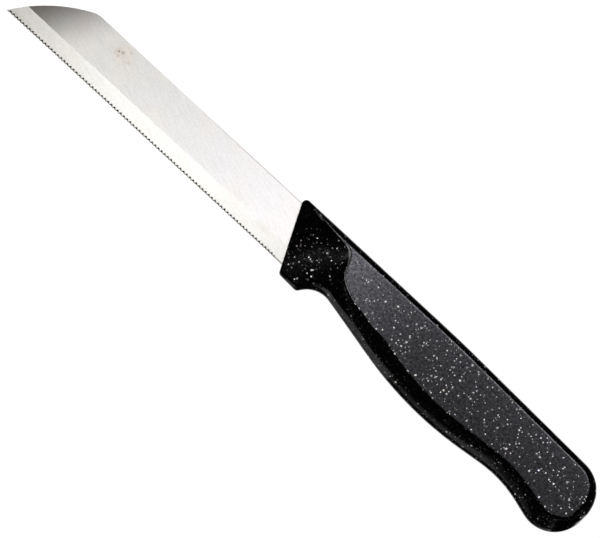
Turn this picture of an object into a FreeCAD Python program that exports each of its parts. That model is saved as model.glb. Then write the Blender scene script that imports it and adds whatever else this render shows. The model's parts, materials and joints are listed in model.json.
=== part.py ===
import FreeCAD, Part
import math
import os

# Fruit knife in two pieces: a stamped steel blade with a hidden tang, and the plastic handle moulded on it.
# Millimetres. The knife is drawn with its tip at x = 0, its cutting edge along y = 0 and the middle plane of
# the blade at z = 0. X runs from tip to butt, Y from the edge to the spine, Z out of the toothed side.
# At the end it is moved to its own frame: lying on its side, with the origin in the lower flat of the handle.

# Blade, as far as it shows
BLADE_LENGTH = 85.3
BLADE_WIDTH = 14.7
BLADE_THICKNESS = 1.0
BACK_RUN = 17.4
BACK_RADIUS = 42.0
BACK_BLEND_RADIUS = 6.0

# Grind on both sides, from the flats of the blade down to the cutting edge
GRIND_HEIGHT = 4.3
EDGE_THICKNESS = 0.15

# Fine teeth: round gullets ground into the edge from one side, each sloping down steeper than the grind, so
# that it is deepest at the edge. A plain stretch is left before the handle.
TOOTH_PITCH = 1.06
GULLET_REACH = 0.58
GULLET_RADIUS = 0.42
GULLET_SLOPE_DEGREES = 30.0
FIRST_GULLET = 1.0
PLAIN_HEEL = 2.9

# Tang, hidden in the handle, with round holes that the plastic fills
HEEL_DEPTH = 4.0
TANG_LENGTH = 60.0
TANG_BELOW_SPINE = 2.6
TANG_NECK_COVER = 1.8
TANG_CORNER_RADIUS = 1.5
KEY_HOLE_DIAMETER = 4.0
KEY_HOLE_COUNT = 3
KEY_HOLE_START = 8.0
KEY_HOLE_TO_END = 12.0

# Handle: its thickness, its rise over the spine of the blade and the lean of its front
HANDLE_THICKNESS = 10.6
SPINE_RISE = 1.55
FRONT_LEAN_DEGREES = 24.6
FRONT_TOP_RADIUS = 1.2

# Outline of the handle: the corners of a rounded polygon, from the upper front round the chin, the neck, the
# belly, the hollow and the butt. Each corner lies so far behind the one before it, and so far down or up.
CHIN_DROP = 2.2
CHIN_RUN = 6.0
CHIN_FALL = 0.25
CHIN_FRONT_RADIUS = 0.8
CHIN_REAR_RADIUS = 1.0
NECK_RUN = 3.4
NECK_RISE = 4.7
NECK_RADIUS = 6.8
BELLY_RUN = 36.6
BELLY_FALL = 7.8
BELLY_RADIUS = 97.0
HOLLOW_RUN = 28.7
HOLLOW_RISE = 3.7
HOLLOW_RADIUS = 33.0
BUTT_RUN = 21.6
BUTT_FALL = 6.05
LOBE_RADIUS = 8.9
BUTT_TOP_FALL = 1.65
BUTT_TOP_RADIUS = 10.2
BACK_BEND_BEFORE_BUTT = 52.2
BACK_BEND_RADIUS = 400.0

# Flat on each side: margins inside the outline, and the sweep that ends it behind the chin
SPINE_MARGIN = 0.95
BELLY_MARGIN = 5.5
HOLLOW_MARGIN = 4.1
LOBE_MARGIN = 6.1
BUTT_MARGIN = 2.4
FLAT_START = 5.3
SWEEP_TOP_RUN = 17.9
SWEEP_TOP_FALL = 1.95
SWEEP_TOP_RADIUS = 4.6
SWEEP_FOOT_RUN = 4.8
SWEEP_FOOT_FALL = 7.15
SWEEP_FOOT_RADIUS = 7.0
FLAT_BELLY_RADIUS = 75.0
FLAT_HOLLOW_RADIUS = 36.0
FLAT_LOBE_RADIUS = 5.0
FLAT_BUTT_RADIUS = 7.0

# Foot of the slope round the flats: nearer to the middle plane, and outside the outline, which trims it
FOOT_HEIGHT = 1.5
SPINE_FLARE = 3.6
FRONT_FLARE = 1.3
CHIN_FLARE_FORWARD = 2.6
CHIN_FLARE_DOWN = 4.3
BELLY_FLARE = 1.2
BUTT_FLARE = 2.1
FOOT_CHIN_RADIUS = 8.0
FOOT_NECK_RADIUS = 30.0

# Side wall: upright beside the middle plane. Along the underside it ends in a narrow lip, and above that a
# rim leans in up to the height of the flats. Along the back, the front and the butt it only has its draft.
WALL_HALF_HEIGHT = 1.6
LIP_WIDTH = 0.6
LIP_RISE = 0.42
RIM_DRAW_IN = 4.05
WALL_DRAFT = 0.08

FRONT_LEAN = math.tan(math.radians(FRONT_LEAN_DEGREES))
HANDLE_TOP = BLADE_WIDTH + SPINE_RISE
HANDLE_HALF = HANDLE_THICKNESS / 2
EDGE_END = BLADE_LENGTH + HANDLE_TOP * FRONT_LEAN
HEEL = EDGE_END + HEEL_DEPTH


def moved(corner, dx, dy, radius):
    """A corner (x, y, radius) shifted by dx and dy, with a radius of its own."""
    return (corner[0] + dx, corner[1] + dy, radius)


def handle_corners():
    """Corners of the handle outline, each worked out from the one before."""
    front_top = (BLADE_LENGTH, HANDLE_TOP, FRONT_TOP_RADIUS)
    chin_front = (EDGE_END + CHIN_DROP * FRONT_LEAN, -CHIN_DROP, CHIN_FRONT_RADIUS)
    chin_rear = moved(chin_front, CHIN_RUN, -CHIN_FALL, CHIN_REAR_RADIUS)
    neck = moved(chin_rear, NECK_RUN, NECK_RISE, NECK_RADIUS)
    belly = moved(neck, BELLY_RUN, -BELLY_FALL, BELLY_RADIUS)
    hollow = moved(belly, HOLLOW_RUN, HOLLOW_RISE, HOLLOW_RADIUS)
    lobe = moved(hollow, BUTT_RUN, -BUTT_FALL, LOBE_RADIUS)
    butt_top = (lobe[0], HANDLE_TOP - BUTT_TOP_FALL, BUTT_TOP_RADIUS)
    back_bend = (lobe[0] - BACK_BEND_BEFORE_BUTT, HANDLE_TOP, BACK_BEND_RADIUS)
    return {
        "front_top": front_top,
        "chin_front": chin_front,
        "chin_rear": chin_rear,
        "neck": neck,
        "belly": belly,
        "hollow": hollow,
        "lobe": lobe,
        "butt_top": butt_top,
        "back_bend": back_bend,
    }


def flat_corners(outline):
    """Corners of the flat on each side, inside the handle outline."""
    flat_start = moved(outline["front_top"], FLAT_START, -SPINE_MARGIN, 0)
    sweep_top = moved(outline["front_top"], SWEEP_TOP_RUN, -SWEEP_TOP_FALL, SWEEP_TOP_RADIUS)
    sweep_foot = moved(sweep_top, SWEEP_FOOT_RUN, -SWEEP_FOOT_FALL, SWEEP_FOOT_RADIUS)
    return [
        flat_start,
        sweep_top,
        sweep_foot,
        moved(outline["belly"], 0, BELLY_MARGIN, FLAT_BELLY_RADIUS),
        moved(outline["hollow"], 0, HOLLOW_MARGIN, FLAT_HOLLOW_RADIUS),
        moved(outline["lobe"], -BUTT_MARGIN, LOBE_MARGIN, FLAT_LOBE_RADIUS),
        moved(outline["butt_top"], -BUTT_MARGIN, -SPINE_MARGIN, FLAT_BUTT_RADIUS),
        moved(outline["back_bend"], 0, -SPINE_MARGIN, BACK_BEND_RADIUS),
    ]


def foot_corners(outline):
    """Corners of the foot of the slope, one for each corner of the flat."""
    return [
        moved(outline["front_top"], -FRONT_FLARE, SPINE_FLARE, 0),
        moved(outline["chin_front"], -CHIN_FLARE_FORWARD, -CHIN_FLARE_DOWN, FOOT_CHIN_RADIUS),
        moved(outline["neck"], BELLY_RUN / 2, -BELLY_FALL / 2 - BELLY_FLARE, FOOT_NECK_RADIUS),
        moved(outline["belly"], 0, -BELLY_FLARE, BELLY_RADIUS),
        moved(outline["hollow"], 0, -BELLY_FLARE, HOLLOW_RADIUS),
        moved(outline["lobe"], BUTT_FLARE, -BELLY_FLARE, LOBE_RADIUS),
        moved(outline["butt_top"], BUTT_FLARE, SPINE_FLARE, BUTT_TOP_RADIUS),
        moved(outline["back_bend"], 0, SPINE_FLARE, BACK_BEND_RADIUS),
    ]


def drawn_in(corners, amounts):
    """Corners of an outline after each side, from one corner to the next, has moved in by its own amount."""
    inward = []
    for i, corner in enumerate(corners):
        after = corners[(i + 1) % len(corners)]
        side = FreeCAD.Vector(after[0] - corner[0], after[1] - corner[1], 0).normalize()
        inward.append(FreeCAD.Vector(-side.y, side.x, 0))
    result = []
    for i, corner in enumerate(corners):
        before, after = inward[i - 1], inward[i]
        spread = before.x * after.y - before.y * after.x
        dx = (amounts[i - 1] * after.y - amounts[i] * before.y) / spread
        dy = (amounts[i] * before.x - amounts[i - 1] * after.x) / spread
        result.append(moved(corner, dx, dy, corner[2]))
    return result


def half_turn(before, corner, after):
    """Half of the angle that an outline turns through at a corner, in radians."""
    way_in = FreeCAD.Vector(corner[0] - before[0], corner[1] - before[1], 0)
    way_out = FreeCAD.Vector(after[0] - corner[0], after[1] - corner[1], 0)
    return way_in.getAngle(way_out) / 2


def arc_reaches(around):
    """How far the arc at each corner reaches along its two sides, held to the room that the sides have."""
    wanted = [corner[2] * math.tan(half_turn(before, corner, after)) for before, corner, after in around]
    room = []
    for i, (_, corner, after) in enumerate(around):
        side = math.dist(corner[:2], after[:2])
        both = wanted[i] + wanted[(i + 1) % len(around)]
        room.append(min(1, 0.98 * side / both) if both else 1)
    return [reach * min(room[i - 1], room[i]) for i, reach in enumerate(wanted)]


def rounded_outline(corners, height):
    """Closed wire at one height round corners (x, y, radius), with an arc at each corner with a radius."""
    count = len(corners)
    around = [(corners[i - 1], corners[i], corners[(i + 1) % count]) for i in range(count)]
    ends = []
    edges = []
    for (before, corner, after), reach in zip(around, arc_reaches(around)):
        point = FreeCAD.Vector(corner[0], corner[1], height)
        to_before = FreeCAD.Vector(before[0], before[1], height).sub(point).normalize()
        to_after = FreeCAD.Vector(after[0], after[1], height).sub(point).normalize()
        start = point + to_before * reach
        end = point + to_after * reach
        if ends:
            edges.append(Part.LineSegment(ends[-1], start).toShape())
        if reach:
            half = half_turn(before, corner, after)
            inset = reach / math.tan(half) * (1 / math.cos(half) - 1)
            middle = point + (to_before + to_after).normalize() * inset
            edges.append(Part.Arc(start, middle, end).toShape())
        ends += [start, end]
    edges.append(Part.LineSegment(ends[-1], ends[0]).toShape())
    return Part.Wire(edges)


def stacked_body(upper_levels):
    """Body through like outlines, given at rising heights over the middle plane and repeated below it."""
    lower_levels = [(corners, -height) for corners, height in reversed(upper_levels)]
    wires = [rounded_outline(corners, height) for corners, height in lower_levels + upper_levels]
    solid, ruled = True, True
    return Part.makeLoft(wires, solid, ruled)


def wall_corners(outline, at_underside, elsewhere):
    """Corners of the handle outline, drawn in by one amount at its five lower sides and another elsewhere."""
    amounts = [elsewhere] + [at_underside] * 5 + [elsewhere] * 3
    return drawn_in(list(outline.values()), amounts)


def make_handle(blade):
    """Handle: a body with its flats and slopes, trimmed to a body with its wall and rim, round the blade."""
    outline = handle_corners()
    sloped = stacked_body([(foot_corners(outline), FOOT_HEIGHT), (flat_corners(outline), HANDLE_HALF)])
    walled = stacked_body([
        (list(outline.values()), WALL_HALF_HEIGHT),
        (wall_corners(outline, LIP_WIDTH, 0), WALL_HALF_HEIGHT + LIP_RISE),
        (wall_corners(outline, RIM_DRAW_IN, WALL_DRAFT), HANDLE_HALF),
    ])
    return sloped.common(walled).cut(blade).Solids[0]


def tang_heights():
    """Lower and upper height of the tang, which keeps its cover of plastic at the neck."""
    neck_height = handle_corners()["neck"][1]
    return neck_height + TANG_NECK_COVER, BLADE_WIDTH - TANG_BELOW_SPINE


def blade_wire():
    """Outline of the blade: along the curved back and the spine, round the tang, and along the edge."""
    tip = FreeCAD.Vector(0, 0, 0)
    back_end = FreeCAD.Vector(BACK_RUN, BLADE_WIDTH, 0)
    chord = back_end - tip
    bulge = BACK_RADIUS - math.sqrt(BACK_RADIUS ** 2 - (chord.Length / 2) ** 2)
    back_middle = tip + chord / 2 + FreeCAD.Vector(-chord.y, chord.x, 0).normalize() * bulge
    tang_low, tang_high = tang_heights()
    tang_end = HEEL + TANG_LENGTH
    corners = [
        back_end,
        FreeCAD.Vector(HEEL, BLADE_WIDTH, 0),
        FreeCAD.Vector(HEEL, tang_high, 0),
        FreeCAD.Vector(tang_end, tang_high, 0),
        FreeCAD.Vector(tang_end, tang_low, 0),
        FreeCAD.Vector(HEEL, tang_low, 0),
        FreeCAD.Vector(HEEL, 0, 0),
        tip,
    ]
    lines = [Part.LineSegment(a, b).toShape() for a, b in zip(corners, corners[1:])]
    return Part.Wire([Part.Arc(tip, back_middle, back_end).toShape()] + lines)


def upright_edges(solid, x, y_values):
    """Upright edges of a plate that stand at x and at one of the y values."""
    found = []
    for edge in solid.Edges:
        first, last = edge.Vertexes[0].Point, edge.Vertexes[-1].Point
        upright = math.dist(first[:2], last[:2]) < 1e-6
        if upright and abs(first.x - x) < 1e-6 and min(abs(first.y - y) for y in y_values) < 1e-6:
            found.append(edge)
    return found


def grind_fall(height):
    """How far the ground face lies below the flat of the blade, at a height over the cutting edge."""
    return (BLADE_THICKNESS - EDGE_THICKNESS) / 2 * (1 - height / GRIND_HEIGHT)


def grind_wedge(side):
    """What the grind takes off on one side, 1 or -1: a wedge from the flat down past the cutting edge."""
    top = BLADE_THICKNESS / 2
    below = -GRIND_HEIGHT
    corners = [
        FreeCAD.Vector(0, GRIND_HEIGHT, side * top),
        FreeCAD.Vector(0, below, side * (top - grind_fall(below))),
        FreeCAD.Vector(0, below, side * (top + BLADE_THICKNESS)),
        FreeCAD.Vector(0, GRIND_HEIGHT, side * (top + BLADE_THICKNESS)),
    ]
    section = Part.Face(Part.makePolygon(corners + corners[:1]))
    return section.extrude(FreeCAD.Vector(HEEL, 0, 0))


def gullet_cutter(x):
    """Round cutter for one gullet: it starts at the upper ground face and slopes down past the edge."""
    slope = math.radians(GULLET_SLOPE_DEGREES)
    downhill = FreeCAD.Vector(0, -math.cos(slope), -math.sin(slope))
    upright = FreeCAD.Vector(0, -math.sin(slope), math.cos(slope))
    start = FreeCAD.Vector(x, GULLET_REACH, BLADE_THICKNESS / 2 - grind_fall(GULLET_REACH))
    base = start + upright * GULLET_RADIUS - downhill * GULLET_REACH
    return Part.makeCylinder(GULLET_RADIUS, 2 * (GULLET_REACH + BLADE_THICKNESS), base, downhill)


def gullets():
    """Round cutters for the row of fine teeth, up to the plain stretch of edge before the handle."""
    toothed = EDGE_END - PLAIN_HEEL - FIRST_GULLET
    count = int(toothed / TOOTH_PITCH) + 1
    return [gullet_cutter(FIRST_GULLET + i * TOOTH_PITCH) for i in range(count)]


def key_holes():
    """Round cutters for the holes in the tang, spread evenly along its middle."""
    middle = sum(tang_heights()) / 2
    pitch = (TANG_LENGTH - KEY_HOLE_START - KEY_HOLE_TO_END) / (KEY_HOLE_COUNT - 1)
    first = FreeCAD.Vector(HEEL + KEY_HOLE_START, middle, -BLADE_THICKNESS)
    places = [first + FreeCAD.Vector(i * pitch, 0, 0) for i in range(KEY_HOLE_COUNT)]
    return [Part.makeCylinder(KEY_HOLE_DIAMETER / 2, 2 * BLADE_THICKNESS, place) for place in places]


def make_blade():
    """Blade and tang, stamped from one sheet, ground on both sides and toothed from one."""
    plate = Part.Face(blade_wire()).extrude(FreeCAD.Vector(0, 0, BLADE_THICKNESS))
    plate.translate(FreeCAD.Vector(0, 0, -BLADE_THICKNESS / 2))
    plate = plate.makeFillet(BACK_BLEND_RADIUS, upright_edges(plate, BACK_RUN, [BLADE_WIDTH]))
    tang_corners = upright_edges(plate, HEEL + TANG_LENGTH, tang_heights())
    plate = plate.makeFillet(TANG_CORNER_RADIUS, tang_corners)
    return plate.cut([grind_wedge(1), grind_wedge(-1)] + key_holes() + gullets()).Solids[0]


def to_own_frame():
    """Move that brings the middle of the lower flat of the handle to the origin."""
    outline = handle_corners()
    flat = flat_corners(outline)
    sweep_top, belly, butt = flat[1], flat[3], flat[5]
    middle_x = (sweep_top[0] + butt[0]) / 2
    middle_y = (belly[1] + HANDLE_TOP - SPINE_MARGIN) / 2
    return FreeCAD.Vector(-middle_x, -middle_y, HANDLE_HALF)


os.makedirs("parts", exist_ok=True)
blade = make_blade()
handle = make_handle(blade)
for name, piece in (("blade", blade), ("handle", handle)):
    piece.translate(to_own_frame())
    piece.exportStep(f"parts/{name}.step")
    print(f"{name}: {piece.Volume:.1f} mm3, {len(piece.Faces)} faces")
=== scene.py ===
import json
import math

import bpy
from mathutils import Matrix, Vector

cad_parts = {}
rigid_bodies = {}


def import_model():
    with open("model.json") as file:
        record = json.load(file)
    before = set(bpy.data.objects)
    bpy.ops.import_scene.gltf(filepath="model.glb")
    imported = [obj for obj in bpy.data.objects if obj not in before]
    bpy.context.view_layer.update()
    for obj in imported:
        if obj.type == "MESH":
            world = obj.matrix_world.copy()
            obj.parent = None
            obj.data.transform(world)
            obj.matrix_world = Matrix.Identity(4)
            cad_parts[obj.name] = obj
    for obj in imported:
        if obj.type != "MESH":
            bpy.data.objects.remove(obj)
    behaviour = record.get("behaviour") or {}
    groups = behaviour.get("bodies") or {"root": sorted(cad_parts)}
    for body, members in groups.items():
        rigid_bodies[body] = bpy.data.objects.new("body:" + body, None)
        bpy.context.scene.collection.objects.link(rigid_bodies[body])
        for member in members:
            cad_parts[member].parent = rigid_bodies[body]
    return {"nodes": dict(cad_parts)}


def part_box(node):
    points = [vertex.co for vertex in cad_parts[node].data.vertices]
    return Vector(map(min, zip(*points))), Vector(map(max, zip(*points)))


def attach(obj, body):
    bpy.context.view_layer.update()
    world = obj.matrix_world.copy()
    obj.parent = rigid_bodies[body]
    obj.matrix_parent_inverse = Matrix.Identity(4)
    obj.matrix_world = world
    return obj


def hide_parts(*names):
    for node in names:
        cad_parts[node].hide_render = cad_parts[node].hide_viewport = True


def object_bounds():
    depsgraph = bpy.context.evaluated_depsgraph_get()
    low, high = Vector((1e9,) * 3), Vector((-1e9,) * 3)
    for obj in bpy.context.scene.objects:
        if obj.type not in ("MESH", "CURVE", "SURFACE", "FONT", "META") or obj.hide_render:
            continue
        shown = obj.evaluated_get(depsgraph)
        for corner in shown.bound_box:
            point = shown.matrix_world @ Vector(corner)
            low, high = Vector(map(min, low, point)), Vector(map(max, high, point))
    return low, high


# %% [markdown]
# A fruit knife lies on its side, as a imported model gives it: a steel blade and a plastic handle.
# Everything below is in metres, with X from the tip to the butt, Y from the edge to the spine and Z up.
# The model stays where it is. Sizes are read from its boxes, so that the looks follow if the knife
# changes.

# %% Load the knife and measure it
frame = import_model()
cad_low, cad_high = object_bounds()
blade_low, blade_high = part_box("blade")
handle_low, handle_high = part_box("handle")
middle_height = (handle_low.z + handle_high.z) / 2
blade_thickness = blade_high.z - blade_low.z
MM = 0.001
print("knife", [round(size / MM, 1) for size in cad_high - cad_low], "mm")

# %% [markdown]
# Blender's operators act on whatever is selected, and the import leaves the knife selected. So each step
# starts from an empty selection. One helper makes a single object the one to work on, one selects its
# faces or points by a test, one copies a node of the knife, and one adds a modifier and applies it.

# %% Helpers for shaping
MERGE_DISTANCE = 0.0001 * MM


def work_on(piece):
    """Leaves one object selected and active."""
    for other in bpy.context.view_layer.objects:
        other.select_set(False)
    piece.select_set(True)
    bpy.context.view_layer.objects.active = piece


def select_only(piece, kind, wanted):
    """Selects the faces or the points that a test picks, and leaves the piece in edit mode."""
    work_on(piece)
    bpy.ops.object.mode_set(mode="EDIT")
    bpy.ops.mesh.select_mode(type=kind)
    bpy.ops.mesh.select_all(action="DESELECT")
    bpy.ops.object.mode_set(mode="OBJECT")
    candidates = piece.data.polygons if kind == "FACE" else piece.data.vertices
    for candidate in candidates:
        candidate.select = wanted(candidate)
    bpy.ops.object.mode_set(mode="EDIT")


def merged_copy(node, name):
    """Copy of a node of the knife, with its loose triangles joined and its old normals cleared."""
    piece = bpy.data.objects.new(name, frame["nodes"][node].data.copy())
    bpy.context.scene.collection.objects.link(piece)
    work_on(piece)
    bpy.ops.mesh.customdata_custom_splitnormals_clear()
    bpy.ops.object.mode_set(mode="EDIT")
    bpy.ops.mesh.select_all(action="SELECT")
    bpy.ops.mesh.remove_doubles(threshold=MERGE_DISTANCE)
    bpy.ops.mesh.select_all(action="DESELECT")
    bpy.ops.object.mode_set(mode="OBJECT")
    return piece


def apply_modifier(piece, kind, **settings):
    """Adds a modifier with these settings and applies it."""
    work_on(piece)
    modifier = piece.modifiers.new(kind.title(), kind)
    for setting, value in settings.items():
        setattr(modifier, setting, value)
    bpy.ops.object.modifier_apply(modifier=modifier.name)


# %% [markdown]
# The handle is moulded plastic. Every edge of such a moulding is softly rounded, because the mould is
# polished by hand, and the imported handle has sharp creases. Its skin is going to be remade and smoothed.
# The pocket for the blade would be smoothed away with it, so its walls are deleted first, its mouth is
# filled, and the pocket is cut again at the end, so that it stays sharp.

# %% Take the handle's skin without its pocket
POCKET_MARGIN = 0.02 * MM
handle = merged_copy("handle", "handle_moulded")
pocket_reach = blade_thickness / 2 + POCKET_MARGIN


def in_pocket(face):
    corners = [handle.data.vertices[i].co for i in face.vertices]
    return all(abs(corner.z - middle_height) < pocket_reach for corner in corners)


select_only(handle, "FACE", in_pocket)
bpy.ops.mesh.delete(type="FACE")
bpy.ops.mesh.select_mode(type="EDGE")
bpy.ops.mesh.select_non_manifold()
bpy.ops.mesh.edge_face_add()
bpy.ops.object.mode_set(mode="OBJECT")
print("skin of the handle:", len(handle.data.polygons), "faces")

# %% [markdown]
# Round the lobe of the butt the rim leans in like the foot of a slanted cone, and runs out where the butt
# stands upright. The tool for it is a block with such a cone taken out of it. The cone starts upright,
# and its upper ring is moved aside to slant it.

# %% A slanted cone for the lobe
LOBE_RADIUS = 8.9 * MM
WALL_HALF_HEIGHT = 1.6 * MM
CONE_SIDES = 160
CONE_FOOT, CONE_TOP = -0.37 * MM, 4.63 * MM
CONE_LEAN = Vector((-0.173, 1.338))
CONE_WIDENING = 0.146
lobe_centre = Vector((handle_high.x - LOBE_RADIUS, handle_low.y + LOBE_RADIUS))
wall_top = middle_height + WALL_HALF_HEIGHT
foot_centre = lobe_centre + CONE_LEAN * CONE_FOOT
bpy.ops.mesh.primitive_cone_add(
    vertices=CONE_SIDES,
    radius1=LOBE_RADIUS + CONE_WIDENING * CONE_FOOT,
    radius2=LOBE_RADIUS + CONE_WIDENING * CONE_TOP,
    depth=CONE_TOP - CONE_FOOT,
    location=(foot_centre.x, foot_centre.y, wall_top + (CONE_FOOT + CONE_TOP) / 2),
)
cone = bpy.context.object


def on_upper_ring(point):
    return point.co.z > 0


select_only(cone, "VERT", on_upper_ring)
top_shift = CONE_LEAN * (CONE_TOP - CONE_FOOT)
bpy.ops.transform.translate(value=(top_shift.x, top_shift.y, 0))
bpy.ops.object.mode_set(mode="OBJECT")
print("cone slanted by", [round(way / MM, 2) for way in top_shift], "mm")

# %% [markdown]
# The block lies over the lower corner of the butt and ends in the middle of the lobe. It is mirrored
# about the middle height of the handle for the other side. It only shaves the skin: the upright wall
# keeps its height.

# %% Shave the rim round the lobe
LOBE_ARC_BEFORE_CENTRE = 2.4 * MM
BLOCK_HEIGHT = 4.4 * MM
BLOCK_OVERHANG = 3 * MM
block_low = Vector((lobe_centre.x - LOBE_ARC_BEFORE_CENTRE, handle_low.y - BLOCK_OVERHANG, wall_top))
block_high = Vector((handle_high.x + BLOCK_OVERHANG, lobe_centre.y, wall_top + BLOCK_HEIGHT))
block_middle = (block_low + block_high) / 2
bpy.ops.mesh.primitive_cube_add(size=1, location=block_middle, scale=block_high - block_low)
block = bpy.context.object
apply_modifier(block, "BOOLEAN", operation="DIFFERENCE", solver="EXACT", object=cone)
bpy.ops.object.empty_add(location=(0, 0, middle_height))
middle_mark = bpy.context.object
apply_modifier(block, "MIRROR", use_axis=(False, False, True), mirror_object=middle_mark)
apply_modifier(handle, "BOOLEAN", operation="DIFFERENCE", solver="EXACT", object=block)
for helper in (cone, block, middle_mark):
    bpy.data.objects.remove(helper)
print("shaved handle:", len(handle.data.polygons), "faces")

# %% [markdown]
# The creases could be bevelled one by one, but they meet at very flat angles where a bevel breaks. So the
# skin is remade as a fine even net of small squares, and then smoothed a little, as fine sandpaper would
# do. The creases round the flats stay crisp.

# %% Remake the skin as an even net
NET_SIZE = 0.28 * MM
CREASE_STEPS = 3
SMOOTHING = 0.5
apply_modifier(handle, "REMESH", mode="VOXEL", voxel_size=NET_SIZE)
print("net of the handle:", [round(size / MM, 2) for size in handle.dimensions], "mm")
apply_modifier(handle, "SMOOTH", factor=SMOOTHING, iterations=CREASE_STEPS)

# %% [markdown]
# The crease between the belly's slope and its rim, where the fingers close, is worn and polished much
# softer. A vertex group says where a modifier works and how strongly. This one holds the points between
# two distances from the middle height, on both sides of the handle, and its share grows along the handle.

# %% Soften the belly
BELLY_STEPS = 60
BELLY_FROM, BELLY_FULL = 34 * MM, 44 * MM
BELLY_LOW, BELLY_HIGH = 2.3 * MM, 4.9 * MM
handle_middle = (handle_low.y + handle_high.y) / 2


def soften_slope(name, steps, low, high, upper_side, share_at):
    """Smooths the slope on both sides of the handle, by a share that changes along the handle."""
    group = handle.vertex_groups.new(name=name)
    for point in handle.data.vertices:
        from_middle = abs(point.co.z - middle_height)
        share = share_at(point.co.x - handle_low.x)
        if share > 0 and low < from_middle < high and point.co.y < upper_side:
            group.add([point.index], min(1.0, share), "REPLACE")
    apply_modifier(handle, "SMOOTH", factor=SMOOTHING, iterations=steps, vertex_group=name)


def belly_share(from_front):
    return (from_front - BELLY_FROM) / (BELLY_FULL - BELLY_FROM)


soften_slope("belly", BELLY_STEPS, BELLY_LOW, BELLY_HIGH, handle_middle, belly_share)
print("softened handle:", [round(size / MM, 2) for size in handle.dimensions], "mm")

# %% [markdown]
# The black front of the handle ends in a round nose, and the flat reaches forward below that nose. The
# solid has a straighter border there. Two soft pulls move the border on both sides of the handle, as one
# pulls clay: with proportional editing the picked points move by the whole shift and those around them
# less and less, so the slopes come along and the outline stays. Each pull has a start and an end on the
# border, a shift and a reach, in millimetres from the handle's front and from its lower side.

# %% Pull the border of the flat forward
PICK_RADIUS = 0.5 * MM
PICK_DEPTH = 0.1 * MM
BORDER_PULLS = (
    (Vector((23.15, 12.79)), Vector((23.25, 12.79)), Vector((-1.8, -0.2)), 8.5),
    (Vector((27.05, 11.59)), Vector((33.05, 10.19)), Vector((0.0, -0.75)), 5.5),
)
flat_height = handle.dimensions.z / 2


def pull_border(start, end, shift, reach):
    """Moves the flats' points near a line by the shift, and the points within reach less and less."""
    along = (end - start) * MM

    def near_line(point):
        from_start = point.co.xy - handle_low.xy - start * MM
        share = max(0.0, min(1.0, from_start.dot(along) / along.length_squared))
        on_flat = abs(point.co.z - middle_height) > flat_height - PICK_DEPTH
        return on_flat and (from_start - along * share).length < PICK_RADIUS

    select_only(handle, "VERT", near_line)
    bpy.ops.transform.translate(
        value=(shift.x * MM, shift.y * MM, 0),
        use_proportional_edit=True,
        proportional_edit_falloff="SMOOTH",
        proportional_size=reach * MM,
    )
    bpy.ops.object.mode_set(mode="OBJECT")
    picked = sum(point.select for point in handle.data.vertices)
    print("pulled", picked, "points by", round(shift.length, 2), "mm")


for pull in BORDER_PULLS:
    pull_border(*pull)

# %% [markdown]
# The pulls leave the slope below the new corner steeper at its top than at its foot. Many steps of
# smoothing even it out, so that it has one tilt from the flat down to the rim. The share rises quickly
# behind the nose and falls slowly along the handle.

# %% Even out the slope below the corner
CORNER_STEPS = 160
CORNER_FROM, CORNER_FULL, CORNER_END = 17 * MM, 21 * MM, 44 * MM
CORNER_LOW, CORNER_HIGH = 2.3 * MM, 5.2 * MM
CORNER_OVER_MIDDLE = 3 * MM


def corner_share(from_front):
    rise = (from_front - CORNER_FROM) / (CORNER_FULL - CORNER_FROM)
    fall = (CORNER_END - from_front) / (CORNER_END - CORNER_FULL)
    return min(rise, fall)


corner_side = handle_middle + CORNER_OVER_MIDDLE
soften_slope("corner", CORNER_STEPS, CORNER_LOW, CORNER_HIGH, corner_side, corner_share)
print("evened handle:", [round(size / MM, 2) for size in handle.dimensions], "mm")

# %% [markdown]
# The blade fits the handle without a gap, since the plastic was moulded round it. Cutting a copy of the
# blade out of the handle gives the pocket and its sharp mouth. Shading by angle then keeps sharp edges
# sharp.

# %% Cut the pocket for the blade
SHARP_ANGLE = math.radians(35)
cutter = merged_copy("blade", "cutter")
apply_modifier(handle, "BOOLEAN", operation="DIFFERENCE", solver="EXACT", object=cutter)
bpy.data.objects.remove(cutter)
work_on(handle)
bpy.ops.object.shade_smooth_by_angle(angle=SHARP_ANGLE)
print("handle with its pocket:", len(handle.data.polygons), "faces")
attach(handle, "root")
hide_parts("handle")

# %% [markdown]
# A material is a small net of nodes. These helpers keep the net short: they make a new material with its
# shader, add a node with its settings, join an output to an input, and build the few steps used again and
# again, such as a soft ramp or a mix of two colours.


# %% Helpers for materials
def new_material(name):
    """A material with one main shader, as (material, nodes, shader)."""
    material = bpy.data.materials.new(name)
    material.use_nodes = True
    nodes = material.node_tree.nodes
    return material, nodes, nodes["Principled BSDF"]


def add_node(nodes, kind, inputs=None, **settings):
    """A node with its settings, and with the values or the links of its inputs."""
    node = nodes.new(kind)
    for setting, value in settings.items():
        setattr(node, setting, value)
    for socket, value in (inputs or {}).items():
        give(node, socket, value)
    return node


def give(node, socket, value):
    """Sets an input to a value, or links it to another node's output."""
    if isinstance(value, bpy.types.NodeSocket):
        node.id_data.links.new(value, node.inputs[socket])
    else:
        node.inputs[socket].default_value = value


def math_node(nodes, operation, first, second=0.0):
    """Output of a Math node."""
    return add_node(nodes, "ShaderNodeMath", {0: first, 1: second}, operation=operation).outputs[0]


def vector_math(nodes, operation, first, second=(0, 0, 0)):
    """A Vector Math node."""
    return add_node(nodes, "ShaderNodeVectorMath", {0: first, 1: second}, operation=operation)


def ramp_between(nodes, value, low, high, out_low=0.0, out_high=1.0):
    """Value mapped from one range to another, with a soft start and end."""
    settings = {"Value": value, "From Min": low, "From Max": high, "To Min": out_low, "To Max": out_high}
    node = add_node(nodes, "ShaderNodeMapRange", settings, interpolation_type="SMOOTHSTEP")
    return node.outputs[0]


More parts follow.
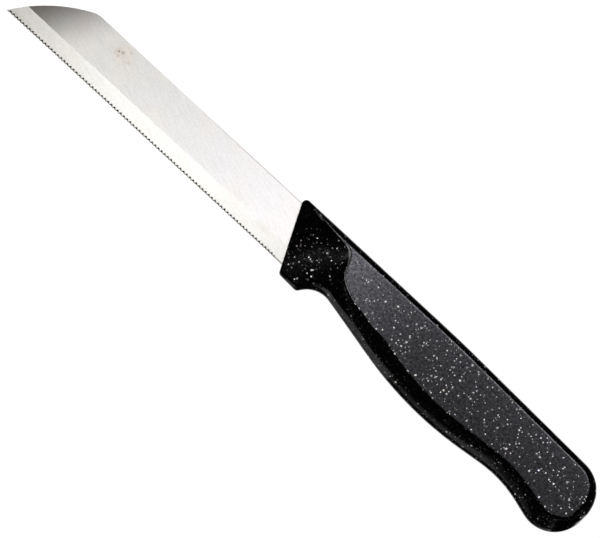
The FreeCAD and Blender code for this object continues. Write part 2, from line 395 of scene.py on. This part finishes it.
def mix_colours(nodes, share, first, second, blend_type="MIX"):
    """One colour mixed with another. A Mix node keeps its colours in the sockets 6 and 7, and output 2."""
    mix = {0: share, 6: first, 7: second}
    return add_node(nodes, "ShaderNodeMix", mix, data_type="RGBA", blend_type=blend_type).outputs[2]


def noise(nodes, place, scale, detail=2.0):
    """Value of a noise pattern."""
    settings = {"Vector": place, "Scale": scale, "Detail": detail}
    return add_node(nodes, "ShaderNodeTexNoise", settings).outputs[0]


def put_on(piece, material):
    """Makes a material the only one of a piece."""
    piece.data.materials.clear()
    piece.data.materials.append(material)
    print(material.name, "has", len(material.node_tree.nodes), "nodes")


# %% [markdown]
# The plastic is black with silver glitter mixed in. A flake is a tiny silver disc, and a Voronoi pattern
# gives points in space to put flakes at: near a point is a flake, and each cell has its own random
# colour, which says whether the cell has a flake and how strong it is. Most small flakes lie deep in the
# plastic and are dim, so their strength is raised to a power.


# %% Flakes in cells of one size
def flakes(nodes, place, cell_size, radius, share, dimness=1.4, stretch=(1, 1, 1), turn=0.0):
    """Mask of the flakes in cells of one size, and the cells' random colours."""
    scaled = add_node(nodes, "ShaderNodeMapping", {"Vector": place}, vector_type="TEXTURE")
    give(scaled, "Rotation", (0, 0, turn))
    give(scaled, "Scale", [cell_size * way for way in stretch])
    cells = add_node(nodes, "ShaderNodeTexVoronoi", {"Vector": scaled.outputs[0], "Scale": 1.0})
    random_part = add_node(nodes, "ShaderNodeSeparateColor", {"Color": cells.outputs["Color"]})
    edge = radius / cell_size
    near = ramp_between(nodes, cells.outputs["Distance"], edge / 2, edge, 1.0, 0.0)
    chosen = math_node(nodes, "LESS_THAN", random_part.outputs["Red"], share)
    strength = math_node(nodes, "POWER", random_part.outputs["Green"], dimness)
    mask = math_node(nodes, "MULTIPLY", math_node(nodes, "MULTIPLY", near, chosen), strength)
    return mask, cells.outputs["Color"]


# %% [markdown]
# Cells of three sizes give the fine dust, the many small flakes and the few large ones. A stretched
# pattern adds the rare flakes seen on edge, as threads. A flake is metal and a little blunt, and it is
# tilted at random, so that it is brighter or dimmer as it faces the light. The black between the flakes
# is polished, under a thin film that reflects unevenly.

# %% Black plastic with glitter
DUST = {"cell_size": 0.45 * MM, "radius": 0.12 * MM, "share": 0.5}
SMALL_FLAKES = {"cell_size": 0.8 * MM, "radius": 0.25 * MM, "share": 0.72}
LARGE_FLAKES = {"cell_size": 1.6 * MM, "radius": 0.36 * MM, "share": 0.8, "dimness": 0.7}
THREADS = {"cell_size": 1.6 * MM, "radius": 0.2 * MM, "share": 0.2}
THREAD_STRETCH, THREAD_TURN = (3, 0.8, 1), math.radians(70)
DUST_STRENGTH = 0.3
FAINTEST_FLAKE = 0.02
FLAKE_TILT = 0.22
BLACK = (0.0015, 0.0015, 0.002, 1)
WARM_SILVER, COOL_SILVER = (0.53, 0.49, 0.43, 1), (0.47, 0.49, 0.53, 1)
POLISHED, BLUNT = 0.12, 0.27
FILM_SCALE = 1500.0


def tilted_normal(nodes, random_colour, strength):
    """The surface's normal, turned a little by a random colour."""
    centred = vector_math(nodes, "SUBTRACT", random_colour, (0.5, 0.5, 0.5)).outputs[0]
    tilt = add_node(nodes, "ShaderNodeVectorMath", {0: centred}, operation="SCALE")
    give(tilt, "Scale", strength)
    normal = add_node(nodes, "ShaderNodeNewGeometry").outputs["Normal"]
    turned = vector_math(nodes, "ADD", normal, tilt.outputs[0]).outputs[0]
    return vector_math(nodes, "NORMALIZE", turned).outputs[0]


def glitter_plastic():
    material, nodes, shader = new_material("black_glitter_plastic")
    place = add_node(nodes, "ShaderNodeTexCoord").outputs["Object"]
    dust, _ = flakes(nodes, place, **DUST)
    small, random_colour = flakes(nodes, place, **SMALL_FLAKES)
    large, _ = flakes(nodes, place, **LARGE_FLAKES)
    thread, _ = flakes(nodes, place, **THREADS, stretch=THREAD_STRETCH, turn=THREAD_TURN)
    flake = math_node(nodes, "MAXIMUM", small, large)
    flake = math_node(nodes, "MAXIMUM", flake, thread)
    flake = math_node(nodes, "MAXIMUM", flake, math_node(nodes, "MULTIPLY", dust, DUST_STRENGTH))
    is_flake = math_node(nodes, "GREATER_THAN", flake, FAINTEST_FLAKE)
    hue = add_node(nodes, "ShaderNodeSeparateColor", {"Color": random_colour}).outputs["Blue"]
    silver = mix_colours(nodes, hue, WARM_SILVER, COOL_SILVER)
    film = noise(nodes, place, FILM_SCALE)
    give(shader, "Base Color", mix_colours(nodes, flake, BLACK, silver))
    give(shader, "Metallic", is_flake)
    give(shader, "Roughness", ramp_between(nodes, is_flake, 0.0, 1.0, POLISHED, BLUNT))
    give(shader, "Specular IOR Level", ramp_between(nodes, film, 0.3, 0.7, 0.3, 0.7))
    tilt = math_node(nodes, "MULTIPLY", is_flake, FLAKE_TILT)
    give(shader, "Normal", tilted_normal(nodes, random_colour, tilt))
    return material


put_on(handle, glitter_plastic())

# %% [markdown]
# The blade is rolled and finely brushed steel. Brushing leaves hair-fine scratches, which blur what the
# steel reflects. Noise stretched along one direction gives them, and a finer even noise the grain of the
# rolled sheet. All further layers are masks that darken the colour, some of them painted shade and some
# stains, so one helper does that.

# %% Brushed steel, bare
SCRATCH_TURN = math.radians(-19)
SCRATCH_SIZE = (5 * MM, 0.16 * MM, 5 * MM)
CLOUD_SCALE, GRAIN_SCALE = 110.0, 2200.0
WARM_STEEL, COOL_STEEL = (0.84, 0.815, 0.76, 1), (0.825, 0.815, 0.78, 1)
GRAIN_TINT = (0.94, 0.94, 0.94, 1)
SCRATCH_TINT = (0.92, 0.92, 0.92, 1)


def darker(nodes, colour, mask, tint):
    """Colour multiplied by a tint where the mask is."""
    return mix_colours(nodes, mask, colour, tint, "MULTIPLY")


def bare_steel(nodes, place):
    """Colour of the bare steel, and the pattern of its scratches."""
    turned = add_node(nodes, "ShaderNodeMapping", {"Vector": place}, vector_type="TEXTURE")
    give(turned, "Rotation", (0, 0, SCRATCH_TURN))
    give(turned, "Scale", SCRATCH_SIZE)
    hair = noise(nodes, turned.outputs[0], 1.0, detail=4.0)
    drift = ramp_between(nodes, noise(nodes, place, CLOUD_SCALE), 0.35, 0.65)
    colour = mix_colours(nodes, drift, WARM_STEEL, COOL_STEEL)
    grain = ramp_between(nodes, noise(nodes, place, GRAIN_SCALE), 0.35, 0.65)
    colour = darker(nodes, colour, grain, GRAIN_TINT)
    scratched = ramp_between(nodes, hair, 0.4, 0.7)
    return darker(nodes, colour, scratched, SCRATCH_TINT), hair


# %% [markdown]
# Towards the tip the steel mirrors a darker part of the room, and that dark reflection is painted into the
# colour as painted shade. On the flat the painted shade runs out along a slanted line, on the ground face
# straight across. The distance from the tip and the height over the edge are enough to say where.

# %% Painted shade of the tip
GRIND_HEIGHT = 4.3 * MM
TIP_DARK_START, TIP_DARK_END = 1.0 * MM, 18.5 * MM
TIP_SLANT = 0.5
# These tints are painted shade: a dark reflection towards the tip, painted into the colour.
PAINTED_TIP_SHADE_TINT = (0.2, 0.19, 0.185, 1)
PAINTED_GROUND_SHADE_TINT = (0.25, 0.25, 0.245, 1)
PAINTED_GROUND_SHADE = 0.7


def painted_tip_shade(nodes, colour, from_tip, height):
    """Colour with the painted dark reflection towards the tip, on the flat and on the ground face."""
    along = math_node(nodes, "SUBTRACT", from_tip, math_node(nodes, "MULTIPLY", height, TIP_SLANT))
    tip = ramp_between(nodes, along, TIP_DARK_START, TIP_DARK_END, 1.0, 0.0)
    on_flat = math_node(nodes, "GREATER_THAN", height, GRIND_HEIGHT)
    colour = darker(nodes, colour, math_node(nodes, "MULTIPLY", tip, on_flat), PAINTED_TIP_SHADE_TINT)
    ground_tip = ramp_between(nodes, from_tip, -2 * TIP_DARK_END, 2 * TIP_DARK_END, PAINTED_GROUND_SHADE, 0.0)
    on_grind = math_node(nodes, "SUBTRACT", 1.0, on_flat)
    return darker(nodes, colour, math_node(nodes, "MULTIPLY", ground_tip, on_grind), PAINTED_GROUND_SHADE_TINT)


# %% [markdown]
# The teeth are cut last, with a fine wheel, as small ground hollows that mirror little light. A darker
# strip along the edge and a dark dot at each gullet are painted into the colour as painted shade of these
# hollows. The dots repeat, so the distance along the blade is folded to and fro with the pitch of the
# teeth, and one round dot then shows at every gullet.

# %% Painted shade of the teeth
EDGE_SHADE_HEIGHT = 0.42 * MM
# This tint is painted shade along the toothed strip of the edge.
PAINTED_EDGE_SHADE_TINT = (0.5, 0.49, 0.48, 1)
TOOTH_PITCH = 1.06 * MM
FIRST_GULLET = 1.0 * MM
TOOTHED_LENGTH = 90 * MM
GULLET_DOT_HEIGHT, GULLET_DOT_RADIUS = 0.42 * MM, 0.32 * MM
# This tint is a painted dark dot of shade at each gullet.
PAINTED_GULLET_SHADE_TINT = (0.25, 0.25, 0.25, 1)


def painted_teeth_shade(nodes, colour, from_tip, height):
    """Colour with the painted shade of the strip along the edge and a painted dark dot at each gullet."""
    edge_shade = ramp_between(nodes, height, EDGE_SHADE_HEIGHT * 0.8, EDGE_SHADE_HEIGHT * 1.2, 1.0, 0.0)
    colour = darker(nodes, colour, edge_shade, PAINTED_EDGE_SHADE_TINT)
    from_gullet = math_node(nodes, "SUBTRACT", from_tip, FIRST_GULLET)
    along_tooth = math_node(nodes, "PINGPONG", from_gullet, TOOTH_PITCH / 2)
    across_tooth = math_node(nodes, "SUBTRACT", height, GULLET_DOT_HEIGHT)
    spot = add_node(nodes, "ShaderNodeCombineXYZ", {"X": along_tooth, "Y": across_tooth}).outputs[0]
    from_gullet_dot = vector_math(nodes, "LENGTH", spot).outputs["Value"]
    gullet_shade = ramp_between(nodes, from_gullet_dot, GULLET_DOT_RADIUS * 0.6, GULLET_DOT_RADIUS * 1.2, 1.0, 0.0)
    on_teeth = math_node(nodes, "LESS_THAN", from_tip, TOOTHED_LENGTH)
    return darker(nodes, colour, math_node(nodes, "MULTIPLY", gullet_shade, on_teeth), PAINTED_GULLET_SHADE_TINT)


# %% [markdown]
# Along the rear of the spine a darker line is painted into the colour, as painted shade of the spine's
# edge, and it grows towards the handle. Use also leaves its marks: behind the slanting part of the spine
# there are a faint blush and a small brown stain, where fruit acid dried. A stain is a soft round mask
# about a place, given from the tip and the edge, and the flakes' pattern breaks it into spots.

# %% Painted spine shade and stain
SPINE_SHADE_WIDTH = 0.45 * MM
SPINE_SHADE_FROM, SPINE_SHADE_FULL = 45 * MM, 75 * MM
# This tint is painted shade along the rear of the spine's edge.
PAINTED_SPINE_SHADE_TINT = (0.55, 0.54, 0.52, 1)
BLUSH = {"middle": (16.4 * MM, 11.2 * MM), "reach": (6.5 * MM, 4.5 * MM)}
BLUSH_TINT = (1.0, 0.97, 0.965, 1)
STAIN = {"middle": (28.6 * MM, 11.6 * MM), "reach": (4.6 * MM, 3.6 * MM)}
STAIN_TINT = (0.97, 0.94, 0.91, 1)
STAIN_SPOTS = {"cell_size": 1.1 * MM, "radius": 0.6 * MM, "share": 0.8, "dimness": 0.7}
SPOT_TINT = (0.72, 0.62, 0.55, 1)
DARK_DOT = {"middle": (27.4 * MM, 11.4 * MM), "reach": (0.5 * MM, 0.5 * MM)}
DOT_TINT = (0.42, 0.36, 0.34, 1)


def near_place(nodes, place, middle, reach):
    """Soft mask round a place on the blade, given from its tip and its edge."""
    local = add_node(nodes, "ShaderNodeMapping", {"Vector": place}, vector_type="TEXTURE")
    give(local, "Location", (blade_low.x + middle[0], blade_low.y + middle[1], middle_height))
    give(local, "Scale", (reach[0], reach[1], 1))
    far = vector_math(nodes, "LENGTH", local.outputs[0]).outputs["Value"]
    return ramp_between(nodes, far, 0.0, 1.0, 1.0, 0.0)


def spine_shade_and_stains(nodes, colour, place, from_tip, height):
    """Colour with the painted shade along the spine's rear edge, the blush and the stain."""
    blade_width = blade_high.y - blade_low.y
    spine_shade = ramp_between(nodes, height, blade_width - SPINE_SHADE_WIDTH, blade_width, 0.0, 1.0)
    rear = ramp_between(nodes, from_tip, SPINE_SHADE_FROM, SPINE_SHADE_FULL)
    colour = darker(nodes, colour, math_node(nodes, "MULTIPLY", spine_shade, rear), PAINTED_SPINE_SHADE_TINT)
    colour = darker(nodes, colour, near_place(nodes, place, **BLUSH), BLUSH_TINT)
    stain = near_place(nodes, place, **STAIN)
    colour = darker(nodes, colour, stain, STAIN_TINT)
    spotted, _ = flakes(nodes, place, **STAIN_SPOTS)
    colour = darker(nodes, colour, math_node(nodes, "MULTIPLY", stain, spotted), SPOT_TINT)
    return darker(nodes, colour, near_place(nodes, place, **DARK_DOT), DOT_TINT)


# %% [markdown]
# The layers go over one another: the bare steel, the painted shade of the tip, of the teeth and of the
# spine, and then the stains. The blade's own mesh is right as it is and only gets this material. The
# scratches also move the gloss and give a very faint bump.

# %% Put the steel together
SCRATCH_DEPTH = 0.002 * MM
SCRATCH_STRENGTH = 0.02
SMOOTH_STEEL, SCRATCHED_STEEL = 0.3, 0.32


def brushed_steel():
    material, nodes, shader = new_material("brushed_blade_steel")
    place = add_node(nodes, "ShaderNodeTexCoord").outputs["Object"]
    parts = add_node(nodes, "ShaderNodeSeparateXYZ", {0: place}).outputs
    from_tip = math_node(nodes, "SUBTRACT", parts["X"], blade_low.x)
    height = math_node(nodes, "SUBTRACT", parts["Y"], blade_low.y)
    colour, hair = bare_steel(nodes, place)
    colour = painted_tip_shade(nodes, colour, from_tip, height)
    colour = painted_teeth_shade(nodes, colour, from_tip, height)
    colour = spine_shade_and_stains(nodes, colour, place, from_tip, height)
    give(shader, "Base Color", colour)
    give(shader, "Metallic", 1.0)
    give(shader, "Roughness", ramp_between(nodes, hair, 0.3, 0.7, SMOOTH_STEEL, SCRATCHED_STEEL))
    bump = add_node(nodes, "ShaderNodeBump", {"Height": hair, "Distance": SCRATCH_DEPTH})
    give(bump, "Strength", SCRATCH_STRENGTH)
    give(shader, "Normal", bump.outputs[0])
    return material


put_on(frame["nodes"]["blade"], brushed_steel())

# %% [markdown]
# The knife lies on a pale floor. The floor is white paper that the lamps light, and it adds a little
# light of its own to what the camera and the reflections see, so that it comes out white and still shows
# a shadow.

# %% Floor
FLOOR_SIZE = 8.0
FLOOR_GLOW = 0.92
FLOOR_COLOUR = (0.6, 0.6, 0.6, 1)
WHITE = (1, 1, 1, 1)
MATT = 0.9
bpy.ops.mesh.primitive_plane_add(size=FLOOR_SIZE, location=(0, 0, cad_low.z))
floor = bpy.context.object
floor.name = "floor"


def matt_material(name, colour):
    """A material without any gloss, as (material, nodes, shader)."""
    material, nodes, shader = new_material(name)
    give(shader, "Base Color", colour)
    give(shader, "Roughness", MATT)
    give(shader, "Specular IOR Level", 0.0)
    return material, nodes, shader


def white_paper():
    material, nodes, shader = matt_material("white_paper", FLOOR_COLOUR)
    rays = add_node(nodes, "ShaderNodeLightPath").outputs
    seen = math_node(nodes, "MAXIMUM", rays["Is Camera Ray"], rays["Is Glossy Ray"])
    seen = math_node(nodes, "MAXIMUM", seen, rays["Is Transmission Ray"])
    give(shader, "Emission Color", WHITE)
    give(shader, "Emission Strength", math_node(nodes, "MULTIPLY", seen, FLOOR_GLOW))
    return material


put_on(floor, white_paper())

# %% [markdown]
# The light is that of a small studio. Steel and polished plastic look as bright as what they mirror, and
# the camera looks straight down, so each face mirrors one place over the table. Soft boxes hang where the
# flats and the ground face of the blade look, and none where the slopes of the handle look, which so stay
# black. A bright strip on the spine's side draws the thin light line inside the crease, and a small
# bright box the light wedge where the flat starts. Each box has two corners in metres, a radiance and a
# colour.

# %% Soft boxes
LAMP_HEIGHT = 0.6
COOL = (0.9, 0.89, 1.0)
NEUTRAL = (1.0, 1.0, 1.0)
SOFT_BOXES = (
    ("tip_box", (-0.50, -0.065), (-0.14, 0.50), 0.6, NEUTRAL),
    ("blade_box", (-0.14, -0.065), (-0.075, 0.50), 0.5, NEUTRAL),
    ("heel_box", (-0.075, -0.065), (-0.055, 0.10), 0.6, NEUTRAL),
    ("wedge_box", (-0.055, 0.003), (-0.037, 0.055), 8.5, COOL),
    ("grind_strip", (-0.22, -0.135), (-0.10, -0.065), 4.9, NEUTRAL),
    ("grind_end", (-0.10, -0.135), (-0.055, -0.065), 8.6, NEUTRAL),
    ("spine_strip", (-0.037, 0.035), (0.13, 0.11), 6.0, COOL),
    ("handle_box", (-0.003, -0.09), (0.13, 0.035), 0.6, COOL),
)


def lit_rectangle(name, place, width, height, radiance, colour, rotation=(0, 0, 0)):
    """A rectangular lamp as bright as its radiance says, which the camera doesn't see."""
    bpy.ops.object.light_add(type="AREA", location=place, rotation=rotation)
    lamp = bpy.context.object
    lamp.name = name
    lamp.data.shape = "RECTANGLE"
    lamp.data.size = width
    lamp.data.size_y = height
    lamp.data.energy = radiance * math.pi * width * height
    lamp.data.color = colour
    lamp.visible_camera = False


def soft_box(name, low, high, radiance, colour):
    """A lamp that faces down from between two corners."""
    middle = ((low[0] + high[0]) / 2, (low[1] + high[1]) / 2, LAMP_HEIGHT)
    lit_rectangle(name, middle, high[0] - low[0], high[1] - low[1], radiance, colour)


for box in SOFT_BOXES:
    soft_box(*box)
print("hung", len(SOFT_BOXES), "soft boxes", LAMP_HEIGHT, "m over the table")

# %% [markdown]
# The flat of the handle fades from its front to its butt. A row of narrow boxes, each dimmer than the one
# before, gives it something to mirror that fades in the same way.

# %% Fading row of boxes
ROW_START, ROW_END = -0.037, -0.003
ROW_LOW, ROW_HIGH = -0.09, 0.035
ROW_COUNT = 4
FIRST_RADIANCE, LAST_RADIANCE = 2.8, 0.85
row_step = (ROW_END - ROW_START) / ROW_COUNT
for i in range(ROW_COUNT):
    start = ROW_START + i * row_step
    radiance = FIRST_RADIANCE + (LAST_RADIANCE - FIRST_RADIANCE) * i / (ROW_COUNT - 1)
    soft_box(f"row_box_{i}", (start, ROW_LOW), (start + row_step, ROW_HIGH), radiance, COOL)
    print("box", i, "of the row has radiance", round(radiance, 2))

# %% [markdown]
# The lower rim of the handle leans far out, so it mirrors what stands low beside the table. Two upright
# cards on the belly's side draw the soft grey band along it. The long card is hardly taller than the
# handle: only the foot of the rim mirrors it, and the band fades upwards. The front card is taller, for
# the flatter rim in the hollow behind the chin.

# %% Cards beside the belly
CARD_DISTANCE = 45 * MM
CARD_START, CARD_CHANGE, CARD_END = -65 * MM, -18 * MM, 66 * MM
FRONT_TOP, BELLY_TOP = 17.5 * MM, 10.2 * MM
FRONT_RADIANCE, BELLY_RADIANCE = 0.65, 0.6
LIT_PART = 0.96


def upright_card(name, start, end, top, radiance):
    """A lamp that stands on the table and faces the knife's belly."""
    place = ((start + end) / 2, -CARD_DISTANCE, top / 2)
    upright = (math.pi / 2, 0, 0)
    lit_rectangle(name, place, end - start, top * LIT_PART, radiance, NEUTRAL, upright)
    print(name, "is", round((end - start) / MM), "mm long")


upright_card("front_card", CARD_START, CARD_CHANGE, FRONT_TOP, FRONT_RADIANCE)
upright_card("belly_card", CARD_CHANGE, CARD_END, BELLY_TOP, BELLY_RADIANCE)

# %% [markdown]
# The corner of the butt is steeper than the rest of the rim and would mirror the white floor, so a black
# flag stands there, as photographers set one. Only the reflections see it.

# %% Black flag
FLAG_BEYOND_BUTT, FLAG_OVER_BELLY = 6.4 * MM, 1.7 * MM
FLAG_LENGTH, FLAG_TOP = 16 * MM, 10 * MM
FLAG_TURN = math.radians(55)
FLAG_BLACK = (0.005, 0.005, 0.005, 1)
bpy.ops.mesh.primitive_plane_add(
    size=1,
    location=(handle_high.x + FLAG_BEYOND_BUTT, handle_low.y + FLAG_OVER_BELLY, FLAG_TOP / 2),
    rotation=(math.pi / 2, 0, FLAG_TURN),
)
flag = bpy.context.object
flag.name = "black_flag"
flag.scale = (FLAG_LENGTH, FLAG_TOP, 1)
flag.visible_camera = False
flag.visible_diffuse = False
flag.visible_shadow = False
put_on(flag, matt_material("black_card", FLAG_BLACK)[0])

# %% [markdown]
# The room beyond the lamps is dark, as a studio is. What faces no lamp and no floor mirrors next to
# nothing, and that keeps the plastic black.

# %% Dark room
DARK_RADIANCE = 0.012


def studio_room():
    world = bpy.data.worlds.new("studio_room")
    world.use_nodes = True
    background = world.node_tree.nodes["Background"]
    give(background, "Color", (DARK_RADIANCE, DARK_RADIANCE, DARK_RADIANCE, 1))
    give(background, "Strength", 1.0)
    return world


bpy.context.scene.world = studio_room()
print("the room has radiance", DARK_RADIANCE)

# %% [markdown]
# The photo looks straight down on the knife, which lies across the picture from the upper left to the
# lower right. A long lens from far away keeps both ends at the same scale.

# %% Camera
VIEW_TURN = math.radians(42.8)
VIEW_WIDTH = 148.5 * MM
CAMERA_HEIGHT = 1.0
FARTHEST_SEEN = 20
TIP_TO_VIEW_MIDDLE = 96.8 * MM
EDGE_TO_VIEW_MIDDLE = 2.3 * MM
view_middle = Vector((blade_low.x + TIP_TO_VIEW_MIDDLE, blade_low.y + EDGE_TO_VIEW_MIDDLE))
camera_place = (view_middle.x, view_middle.y, middle_height + CAMERA_HEIGHT)
bpy.ops.object.camera_add(location=camera_place, rotation=(0, 0, VIEW_TURN))
camera = bpy.context.object
camera.data.lens = camera.data.sensor_width * CAMERA_HEIGHT / VIEW_WIDTH
camera.data.clip_end = FARTHEST_SEEN
bpy.context.scene.camera = camera
bpy.context.scene.view_settings.view_transform = "Standard"
print("lens", round(camera.data.lens), "mm")
